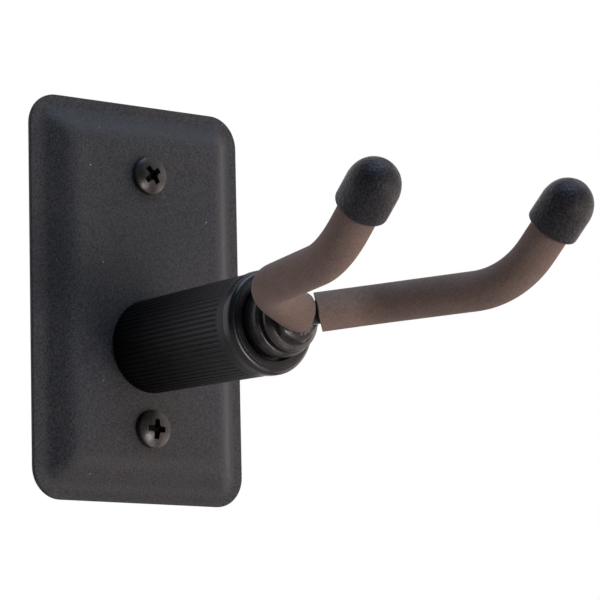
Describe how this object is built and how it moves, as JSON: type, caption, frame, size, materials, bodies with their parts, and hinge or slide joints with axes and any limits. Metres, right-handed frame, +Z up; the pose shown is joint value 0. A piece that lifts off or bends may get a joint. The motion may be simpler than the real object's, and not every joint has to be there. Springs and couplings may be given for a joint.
{
  "type": "wall guitar hanger",
  "caption": "Wall hanger for a guitar: a stamped plate with a raised pan, a ribbed post and a swivelling padded fork whose arms turn up into capped tips.",
  "frame": {"origin": "on the wall plane, at the middle of the back face of the plate's lower rim", "axes": "+Z up the wall, +Y into the wall, so the hanger stands out along -Y; +X is to the right of a person facing it"},
  "size_m": [0.079, 0.1827, 0.1143],
  "materials": {
    "powder_coat": "fine textured charcoal powder coat",
    "black_steel": "satin black oxide",
    "plain_steel": "zinc plated",
    "post_plastic": "satin moulded black plastic",
    "nylon": "satin",
    "sheath_rubber": "matte brown-grey rubber",
    "cap_rubber": "finely textured black rubber"
  },
  "bodies": {
    "wall_post": {"back_plate": "powder_coat", "upper_screw": "black_steel", "lower_screw": "black_steel", "post_sleeve": "post_plastic", "core_tube": "plain_steel", "front_collar": "post_plastic", "front_bushing": "nylon", "thrust_washer": "black_steel", "rear_washer": "plain_steel"},
    "yoke": {"spring_washer": "black_steel", "pivot_bolt": "black_steel", "lock_nut": "plain_steel", "yoke_rod": "black_steel", "left_sheath": "sheath_rubber", "right_sheath": "sheath_rubber", "left_cap": "cap_rubber", "right_cap": "cap_rubber"}
  },
  "joints": [
    {"name": "yoke_swivel", "type": "hinge", "parent": "wall_post", "child": "yoke", "pos_m": [0, -0.05, 0.04175], "axis": [0, -1, 0], "continuous": true}
  ]
}
